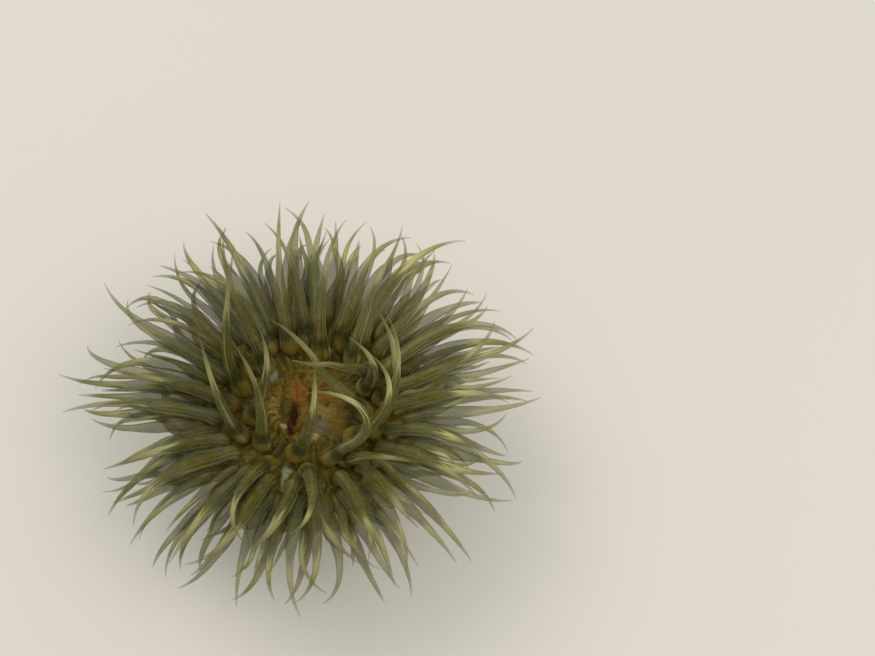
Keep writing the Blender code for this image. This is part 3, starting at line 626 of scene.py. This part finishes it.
def thickness(form, t):
    """Radius along a tentacle: a swollen base, a shaft that thins a little, then a long slender end."""
    shaft = 1 - form["taper"] * t + BULB * np.exp(-((t - BULB_PLACE) / BULB_SPREAD) ** 2)
    point = np.clip((1 - t) / POINT, 0, 1) ** POINT_CURVE
    return form["radius"] * shaft * (1 - PINCH * step(PINCH_FROM, PINCH_TO, t)) * (TIP + (1 - TIP) * point)


def grow(cycle, azimuth, node, draw):
    """One tentacle: its node, its centreline, its radii, and the way that its root goes down."""
    form = CYCLES[cycle]
    shift = draw.uniform(-1, 1, 8)
    ring = form["ring"] + RING_SPREAD * shift[0]
    height = disc_top(ring) - (RIM_DEPTH if cycle == "sixth" else 0)
    yaw = math.radians(azimuth)
    root = (ring * math.cos(yaw), ring * math.sin(yaw), height)
    front = max(0.0, -math.sin(yaw))
    rise = [angle + FRONT_LIFT * front for angle in form["rise"]]
    drift = sum(size * math.sin(waves * yaw + phase) for waves, size, phase in BUNDLES)
    root_stray, middle_stray, outer_stray = STRAY
    leans = (
        aim(azimuth + root_stray[0] * shift[1], rise[0] + root_stray[1] * shift[2]),
        aim(azimuth + drift + middle_stray[0] * shift[1], rise[1] + middle_stray[1] * shift[2]),
        aim(azimuth + 2 * drift + outer_stray[0] * shift[3], rise[2] + outer_stray[1] * shift[4]),
        aim(azimuth + 2 * drift + CURL * shift[6], rise[2] + CURL_UP * shift[7]),
    )
    length = form["length"] * (1 + LENGTH_SPREAD * shift[5]) * (1 - FRONT_SHORT * front)
    posed = POSED.get(round(azimuth))
    if posed and cycle in ("first", "second", "third"):
        leans, length = posed[:4], posed[4]
    below = leans[0] if cycle == "sixth" else np.array(leans[0]) * SINK_LEAN + (0, 0, 1)
    return {
        "node": node, "azimuth": azimuth, "cycle": cycle, "below": below / np.linalg.norm(below),
        "points": centreline(root, leans, length), "radius": form["radius"], "step": length / (STEPS - 1),
        "radii": thickness(form, np.linspace(0, 1, STEPS)),
    }


def crown(rings, seed):
    """Tentacles of these rings of nodes, before they are moved apart."""
    draw = np.random.default_rng(seed)
    grown = []
    for ring, nodes, first, row in rings:
        for k in range(nodes):
            middle = first + 360 / nodes * k
            for cycle, offset in row:
                grown.append(grow(cycle, (middle + offset) % 360, f"tentacles_{ring}_{k + 1:02d}", draw))
    return grown


def neighbours(flat, reach, owner):
    """Pairs of points on different tentacles that lie near enough to meet within a few rounds."""
    points = flat.astype(np.float32)
    square = (points ** 2).sum(1)
    apart = square[:, None] + square[None, :] - 2 * points @ points.T
    wanted = (reach[:, None] + reach[None, :] + CLEAR + LOOK_AHEAD).astype(np.float32)
    return np.nonzero((apart < wanted ** 2) & (owner[:, None] < owner[None, :]))


def move_apart(grown, held=0):
    """Pushes tentacles off one another, off the disc and off the floor. The first ones may be held still."""
    points = np.array([g["points"] for g in grown])
    radii = np.array([g["radii"] for g in grown])
    steps = np.array([g["step"] for g in grown])[:, None]
    owner = np.repeat(np.arange(len(grown)), STEPS)
    t = np.linspace(0, 1, STEPS)
    free = np.clip(t / HOLD_SHARE, 0, 1)[None, :] * (np.arange(len(grown)) >= held)[:, None]
    reach = (radii * np.clip(ROOT_CROWD + (1 - ROOT_CROWD) * t / ROOT_SHARE, 0, 1)).ravel()
    for turn in range(ROUNDS):
        flat = points.reshape(-1, 3)
        if turn % PAIR_EVERY == 0:
            close, mate = neighbours(flat, reach, owner)
        wanted = reach[close] + reach[mate] + CLEAR
        near = ((flat[close] - flat[mate]) ** 2).sum(1) < wanted ** 2
        a, b, wanted = close[near], mate[near], wanted[near]
        away = flat[a] - flat[b]
        distance = np.maximum(np.linalg.norm(away, axis=1), 1e-6)
        push = away / distance[:, None] * (0.5 * (wanted - distance))[:, None]
        moved = np.zeros_like(flat)
        hits = np.zeros(len(flat))
        for index, sign in ((a, 1), (b, -1)):
            np.add.at(moved, index, sign * push)
            np.add.at(hits, index, 1)
        moved = (moved / np.maximum(np.sqrt(hits), 1)[:, None]).reshape(points.shape)
        for _ in range(SMOOTHINGS):
            ends = np.concatenate([moved[:, :1], moved, moved[:, -1:]], axis=1)
            moved = (ends[:, :-2] + 2 * ends[:, 1:-1] + ends[:, 2:]) / 4
        points = points + PUSH * moved * free[:, :, None]
        out = np.hypot(points[:, :, 0], points[:, :, 1])
        ground = np.where(out < MARGIN_RADIUS + RIM_ROUND, DISC_HEIGHT, FLOOR_CLEAR) + radii
        lifted = (t > LIFT_FROM)[None, :] * (free > 0)
        points[:, :, 2] += np.clip(ground - points[:, :, 2], 0, LIFT) * lifted
        for k in range(1, STEPS):
            line = points[:, k] - points[:, k - 1]
            points[:, k] = points[:, k - 1] + line / np.linalg.norm(line, axis=1)[:, None] * steps
    for g, line in zip(grown[held:], points[held:]):
        g["points"] = line
    return grown


grown = move_apart(crown((
    ("inner", INNER_NODES, FIRST_INNER, INNER_ROW), ("outer", OUTER_NODES, FIRST_OUTER, OUTER_ROW),
), SEED))
main_count = len(grown)
grown = move_apart(grown + crown((("outer", OUTER_NODES, FIRST_OUTER, FINE_ROW),), SEED + 1), main_count)


# Each tentacle is a hollow, tapering tube of the same flesh, thin enough to let light through. The skin of
# the disc is raised round its root. It is joined here with its neighbours in four pieces of the crown.
RINGS = 60
ROOT_RINGS = 3                  # more of them inside the body
RING_CROWD = 1.05               # rings lie a little closer at the root
SIDES = 20
MOUND_HEIGHT, MOUND_REACH = 0.0004, 1.25        # skin raised round an inner root, reach in root radii
OUTER_MOUND, OUTER_REACH = 0.0011, 1.55
NECKS = {"first": 0.42, "second": 0.42, "third": 0.38}      # the swollen base is drawn in at the very root
OUTER_NECK = 0.10
NECK_REACH = 0.024
SUNK_THIN = 0.05                # share that a root loses inside the body
SWOLLEN = 0.24                  # the inner ones are fuller for some way above the root
SWOLLEN_PLACE = 0.13
SWOLLEN_SPREAD = 0.07
EVENING, EVEN_OVER = 0.22, (0, 0.45)    # the outer shafts are more even along their length than the solids
BROAD, BROAD_OUT = 0.20, (0.5, 0.9)     # and broader, so that neighbours press into one another a little
SWELLS = ((10, 0.030), (22, 0.018), (46, 0.010))    # unevenness along a tentacle: radians, share
FLATTEN = 0.93
PALE_START = (0.48, 0.66)       # share of the length where the pale stretch begins
PALE_STRENGTH = (0.45, 1.0)
RANKS = {"first": 0.0, "second": 0.08, "third": 0.2, "fourth": 0.5, "fifth": 0.75, "sixth": 1.0, "fine": 1.0}
BAKE_COLUMNS = 4                # strips side by side on the bake's map
BAKE_MARGIN = 0.12              # share of a strip's height left bare, and of its length at each end
BAKE_END = 0.01
BAKE_CAP = ((0.002, 0.004), (0.5, 0.3))     # middle and half size of the root's closed end on the strip

co = np.empty(len(skin.vertices) * 3)
skin.vertices.foreach_get("co", co)
co = co.reshape(-1, 3)
for g in grown:
    if g["cycle"] in ("sixth", "fine"):
        continue
    height, reach = (MOUND_HEIGHT, MOUND_REACH) if g["cycle"] in NECKS else (OUTER_MOUND, OUTER_REACH)
    away = np.linalg.norm(co - g["points"][0], axis=1) / (reach * g["radius"])
    co[:, 2] += height * np.exp(-away ** 2)
skin.vertices.foreach_set("co", co.ravel())
skin.update()


def fine_line(points, places):
    """The smooth curve through the points, read at these places, counted in points from the first."""
    index = np.clip(np.floor(places).astype(int), 0, len(points) - 2)
    t = (places - index)[:, None]
    padded = np.concatenate([[2 * points[0] - points[1]], points, [2 * points[-1] - points[-2]]])
    a, b, c, d = (padded[index + k] for k in range(4))
    bend, twist = 2 * a - 5 * b + 4 * c - d, 3 * b - a - 3 * c + d
    return 0.5 * (2 * b + (c - a) * t + bend * t ** 2 + twist * t ** 3)


def tentacle_mesh(g, draw):
    """Points, faces and shading values of one tentacle, root first."""
    t = np.linspace(0, 1, RINGS) ** RING_CROWD
    line = fine_line(g["points"], t * (STEPS - 1))
    sunk = np.linspace(-1, 0, ROOT_RINGS, endpoint=False)
    line = np.concatenate([line[0] + g["below"] * SINK * sunk[:, None], line])
    along = np.concatenate([np.zeros(ROOT_RINGS), t])
    phases = draw.uniform(0, 2 * np.pi, len(SWELLS))
    swell = 1 + sum(share * np.sin(waves * along + p) for (waves, share), p in zip(SWELLS, phases))
    neck = NECKS.get(g["cycle"], OUTER_NECK) * np.exp(-(along / NECK_REACH) ** 2)
    neck += SUNK_THIN * np.concatenate([-sunk, np.zeros(RINGS)])
    radii = thickness(CYCLES[g["cycle"]], along) * swell * (1 - neck)
    if g["cycle"] in NECKS:
        radii *= 1 + SWOLLEN * np.exp(-((along - SWOLLEN_PLACE) / SWOLLEN_SPREAD) ** 2)
    else:
        radii *= 1 + EVENING * (step(*EVEN_OVER, along) - 0.5)
        radii *= 1 + BROAD * (1 - step(*BROAD_OUT, along))
    ahead = np.gradient(line, axis=0)
    ahead /= np.linalg.norm(ahead, axis=1)[:, None]
    side = np.array([-math.sin(math.radians(g["azimuth"])), math.cos(math.radians(g["azimuth"])), 0])
    angle = np.arange(SIDES) * 2 * np.pi / SIDES
    points = []
    for centre, direction, radius in zip(line, ahead, radii):
        side = side - direction * (side @ direction)
        side /= np.linalg.norm(side)
        up = np.cross(direction, side)
        ring = np.cos(angle)[:, None] * side + FLATTEN * np.sin(angle)[:, None] * up
        points.append(centre + radius * ring)
    points = np.concatenate(points[:-1] + [line[-1:]])
    rings = len(line) - 1
    top = (rings - 1) * SIDES
    faces = [(a, d, c, b) for a, b, c, d in tube_faces(rings, SIDES)]
    faces += [(top + k, top + (k + 1) % SIDES, rings * SIDES) for k in range(SIDES)]
    faces.append(tuple(range(SIDES - 1, -1, -1)))
    around = np.tile(np.stack([np.cos(angle), np.sin(angle), 0 * angle], 1), (rings, 1))
    values = {
        "along": np.concatenate([np.repeat(along[:-1], SIDES), [1.0]]),
        "around": np.concatenate([around, [[0, 1, 0]]]),
    }
    for name, value in (
        ("whim", draw.uniform()), ("start", draw.uniform(*PALE_START)),
        ("strength", draw.uniform(*PALE_STRENGTH)), ("rank", RANKS[g["cycle"]]),
    ):
        values[name] = np.full(len(points), value)
    return points, faces, values


def bake_strip(mesh, start_face, faces, number, count):
    """Lays one tentacle's faces on its own strip of the bake's map, lengthwise across, the girth upwards."""
    per_column = math.ceil(count / BAKE_COLUMNS)
    left, low = number // per_column / BAKE_COLUMNS, number % per_column / per_column
    rings = RINGS + ROOT_RINGS - 1
    (cap_u, cap_wide), (cap_v, cap_tall) = BAKE_CAP
    uv = mesh.uv_layers["OFBake"].data
    for index, face in enumerate(faces):
        k = index % SIDES
        if len(face) == 4:
            spots = [(face[j] // SIDES / rings, (k + (j in (1, 2))) / SIDES) for j in range(4)]
        elif len(face) == 3:
            spots = [(1 - 1 / rings, k / SIDES), (1 - 1 / rings, (k + 1) / SIDES), (1, (k + 0.5) / SIDES)]
        else:
            spots = [(cap_u + cap_wide * math.cos(j), cap_v + cap_tall * math.sin(j)) for j in range(SIDES)]
        for loop, (u, v) in zip(mesh.polygons[start_face + index].loop_indices, spots):
            u, v = BAKE_END + (1 - 2 * BAKE_END) * u, BAKE_MARGIN / 2 + (1 - BAKE_MARGIN) * v
            uv[loop].uv = (left + u / BAKE_COLUMNS, low + v / per_column)


def crown_piece(name, nodes, draw):
    """One piece of the crown: the tentacles of these nodes in one mesh."""
    points, faces, values, spans = [], [], {}, []
    for g in grown:
        if g["node"] not in nodes:
            continue
        start = sum(len(p) for p in points)
        own_points, own_faces, own_values = tentacle_mesh(g, draw)
        spans.append((len(faces), own_faces))
        points.append(own_points)
        faces += [tuple(start + i for i in face) for face in own_faces]
        for key, value in own_values.items():
            values.setdefault(key, []).append(value)
    mesh = bpy.data.meshes.new(name)
    mesh.from_pydata(np.concatenate(points).tolist(), [], faces)
    mesh.shade_smooth()
    mesh.uv_layers.new(name="OFBake")
    for number, (start_face, own_faces) in enumerate(spans):
        bake_strip(mesh, start_face, own_faces, number, len(spans))
    for key, parts in values.items():
        value = np.concatenate(parts).astype(np.float32)
        kind, field = ("FLOAT_VECTOR", "vector") if value.ndim == 2 else ("FLOAT", "value")
        mesh.attributes.new(key, kind, "POINT").data.foreach_set(field, value.ravel())
    piece = put(name, mesh)
    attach(piece, "root")
    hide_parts(*nodes)
    return piece


# Tentacle flesh. A clear wall, grey-olive to mauve grey or blue-olive, with fine brown lines down both
# sides of the upper face, an ochre and blue-green mark at the root, and a dense cream stretch before the
# clear, fine tip. Light passes through it and spreads inside, so the shafts look soft and glassy.
# Painted light on the tentacles: a pale highlight along each side, shade on the underside, and more light on
# the right.
OLIVE, MAUVE_GREY, PALE_OLIVE, UNDERSIDE_SHADE_OLIVE = "625F1D", "766D4B", "86834F", "555329"
LINE_BROWN, ROOT_OCHRE, ROOT_GREEN, SHOULDER_BLUE = "3B300E", "745C14", "2C3016", "555A42"
DUSK_GREEN, TIP_CREAM, TIP_YELLOW, TIP_OLIVE, PAINTED_EDGE_LIGHT = "4A4E2A", "9C9C70", "9E9766", "7E7F54", "8B8A5E"
ROOT_OLIVE, BLUE_OLIVE, SHEEN_TINT = "50470F", "5B644A", "C6C38A"
# The last of these lines is no stripe but a painted highlight, the pale edge that a clear tube shows along
# each side.
LINES = ((1.08, 0.24, 0.55), (0.50, 0.22, 0.5), (1.50, 0.30, 0.75))  # radians from the top, half width, share
LINE_CORE = 0.3                 # share of a line's half width before it starts to fade
clear_flesh, tree, shader = new_material("clear_tentacle_flesh")
place = add("TexCoord", output="Object")
along, whim, rank, start, strength = (
    add("Attribute", output="Fac", attribute_name=name)
    for name in ("along", "whim", "rank", "start", "strength")
)
around = add("Attribute", output="Vector", attribute_name="around")
sideways, upward = (add("SeparateXYZ", {0: around}, k) for k in range(2))
aside = add("Math", {0: sideways}, operation="ABSOLUTE")
from_top = add("Math", {0: aside, 1: upward}, operation="ARCTAN2")

# Fine fibres run lengthwise in the wall, about five across the side that shows.
spread = add("VectorMath", {0: around, 1: (1.7, 1.7, 0)}, operation="MULTIPLY")
own = add("Math", {0: whim, 1: 50}, operation="MULTIPLY")
lengthwise = add("Math", {0: along, 1: 3.0, 2: own}, operation="MULTIPLY_ADD")
lengthwise = add("CombineXYZ", {2: lengthwise})
fibre_place = add("VectorMath", {0: spread, 1: lengthwise}, operation="ADD")
fibres = add("TexNoise", {"Vector": fibre_place, "Scale": 1, "Detail": 1, "Roughness": 0.4})
regions, clouds, grains = (
    add("TexNoise", {"Vector": place, "Scale": mm(size), "Detail": detail})
    for size, detail in ((9, 2), (1.6, 1), (0.25, 2))
)

# Tips are warmer on the inner tentacles, and their roots have other marks than those of the outer ones.
cool, green_in, blue_out, olive_out, ochre_in = (
    add("MapRange", {0: rank, 1: 0.2, 2: 0.5, 3: at_inner, 4: at_outer}, **EASED)
    for at_inner, at_outer in ((-0.3, 0.6), (0.85, 0), (0, 0.45), (0, 1), (1, 0.1))
)

# The shaft: olive to mauve grey, some bluer, darker underneath with painted shade, with brown lines and pale
# fibres along it, and a painted highlight along each side.
tint = add("Math", {0: regions, 1: clouds}, operation="ADD")
layers = [
    (add("MapRange", {0: follows, 1: low, 2: high, 4: most}, **EASED), laid)
    for follows, low, high, most, laid in (
        (tint, 0.85, 1.18, 1, MAUVE_GREY), (whim, 0.55, 0.85, 0.55, BLUE_OLIVE),
        # the underside is darkened with painted shade, and pale fibres run along the wall
        (from_top, 1.8, 2.6, 0.5, UNDERSIDE_SHADE_OLIVE), (fibres, 0.50, 0.64, 0.35, PALE_OLIVE),
    )
]
dark_fibres = add("MapRange", {0: fibres, 1: 0.34, 2: 0.48, 3: 0.14, 4: 0}, **EASED)
shaft_end = add("MapRange", {0: along, 1: 0.40, 2: 0.70, 3: 1, 4: 0.1}, **EASED)
drawn = []
for angle, half, share in LINES:
    off = add("Math", {0: from_top, 1: angle}, operation="SUBTRACT")
    off = add("Math", {0: off}, operation="ABSOLUTE")
    drawn.append(add("MapRange", {0: off, 1: LINE_CORE * half, 2: half, 3: share, 4: 0}, **EASED))
outer_line, upper_line, edge = drawn
lines = add("Math", {0: outer_line, 1: upper_line}, operation="MAXIMUM")
lines = add("Math", {0: lines, 1: dark_fibres}, operation="MAXIMUM")
lines = add("Math", {0: lines, 1: shaft_end}, operation="MULTIPLY")
# The pale edge is painted light, a highlight along each side of the tube.
layers += [(lines, LINE_BROWN), (edge, PAINTED_EDGE_LIGHT)]

# The tip: the pale stretch comes in softly and unevenly over a greener one, then clears to the end.
torn = add("Math", {0: fibres, 1: 0.5}, operation="SUBTRACT")
past = add("Math", {0: along, 1: start}, operation="SUBTRACT")
past = add("Math", {0: torn, 1: 0.35, 2: past}, operation="MULTIPLY_ADD")
dusk, pale, fading = (
    add("MapRange", {0: past, 1: low, 2: high, 4: most}, **EASED)
    for low, high, most in ((-0.20, -0.03, 0.55), (-0.03, 0.11, 1), (0.05, 0.32, 1))
)
clearing = add("MapRange", {0: along, 1: 0.72, 2: 1.0, 3: 1, 4: 0.35}, **EASED)
for share in (strength, clearing):
    pale = add("Math", {0: pale, 1: share}, operation="MULTIPLY")
warm = add("MapRange", {0: whim, 1: cool, 2: 0.95}, **EASED)
cream = add("Mix", {0: warm, 6: TIP_CREAM, 7: TIP_YELLOW}, 2, **COLOURS)
cream = add("Mix", {0: fading, 6: cream, 7: TIP_OLIVE}, 2, **COLOURS)
layers += [(dusk, DUSK_GREEN), (pale, cream)]

# The root: an ochre foot with a blue-green spot above it on the inner tentacles. The outer ones have
# grey-blue shoulders and an olive foot, set into the rim.
uneven = add("Math", {0: clouds, 1: 0.10, 2: along}, operation="MULTIPLY_ADD")
above, below, sunk, foot = (
    add("MapRange", {0: uneven, 1: low, 2: high, 3: at_low, 4: at_high}, **EASED)
    for low, high, at_low, at_high in (
        (0.14, 0.21, 0, 1), (0.22, 0.33, 1, 0), (0.06, 0.16, 0.95, 0), (0.08, 0.22, 0.95, 0),
    )
)
spot = add("Math", {0: above, 1: below}, operation="MULTIPLY")
fresh = add("MapRange", {0: strength, 1: 0.45, 2: 1.0, 3: 0.35, 4: 1.0})
foot = add("Math", {0: foot, 1: fresh}, operation="MULTIPLY")
for mark, where, laid in (
    (spot, blue_out, SHOULDER_BLUE), (spot, green_in, ROOT_GREEN), (sunk, olive_out, ROOT_OLIVE),
    (foot, ochre_in, ROOT_OCHRE),
):
    layers.append((add("Math", {0: mark, 1: where}, operation="MULTIPLY"), laid))
colour = OLIVE
for share, laid in layers:
    colour = add("Mix", {0: share, 6: colour, 7: laid}, 2, **COLOURS)

# Each tentacle is a little darker or lighter than the next, and painted light makes those on the right
# lighter.
painted_light_right = add("SeparateXYZ", {0: place})
painted_light_right = add("MapRange", {0: painted_light_right, 1: -0.015, 2: 0.022, 3: 0.95, 4: 1.30}, **EASED)
tone_and_painted_light = add("MapRange", {0: whim, 3: 0.86, 4: 1.14})
tone_and_painted_light = add("Math", {0: tone_and_painted_light, 1: painted_light_right}, operation="MULTIPLY")
colour = add("HueSaturation", {"Value": tone_and_painted_light, "Color": colour})

# The wall is densest at the root, along the lines and in the pale stretch, and clears to the end.
clear = add("MapRange", {0: rank, 1: 0, 2: 0.5, 3: 0.60, 4: 0.50})
dense = add("MapRange", {0: rank, 1: 0, 2: 0.5, 3: 1, 4: 0.80})
solid = add("MapRange", {0: along, 1: 0.10, 2: 0.34, 3: dense, 4: clear}, **EASED)
for thicker in (lines, edge, pale):
    solid = add("Math", {0: solid, 1: thicker}, operation="MAXIMUM")
end = add("MapRange", {0: along, 1: 0.80, 2: 1.0, 3: 1, 4: 0.4}, **EASED)
solid = add("Math", {0: solid, 1: end}, operation="MULTIPLY")
gloss = add("MapRange", {0: grains, 1: 0.3, 2: 0.7, 3: 0.30, 4: 0.42})
grooves = add("Bump", {"Strength": 0.25, "Distance": 0.00010, "Height": fibres})
plug(shader, {  # the sheen is the clear outer skin, lighter at its edges
    "Base Color": colour, "Alpha": solid, "Roughness": gloss, "Normal": grooves, "IOR": 1.37,
    "Specular IOR Level": 0.15, "Sheen Weight": 0.12, "Sheen Roughness": 0.35, "Sheen Tint": SHEEN_TINT,
    "Subsurface Weight": 0.3, "Subsurface Radius": (1.0, 0.8, 0.5), "Subsurface Scale": 0.0010,
})

draw = np.random.default_rng(SEED + 2)
outer_nodes = [f"tentacles_outer_{k:02d}" for k in range(1, OUTER_NODES + 1)]
PIECES = {
    "crown_inner": [f"tentacles_inner_{k:02d}" for k in range(1, INNER_NODES + 1)],
    "crown_back": outer_nodes[:4],
    "crown_left": outer_nodes[4:8],
    "crown_right": outer_nodes[8:],
}
for name, nodes in PIECES.items():
    crown_piece(name, nodes, draw).data.materials.append(clear_flesh)
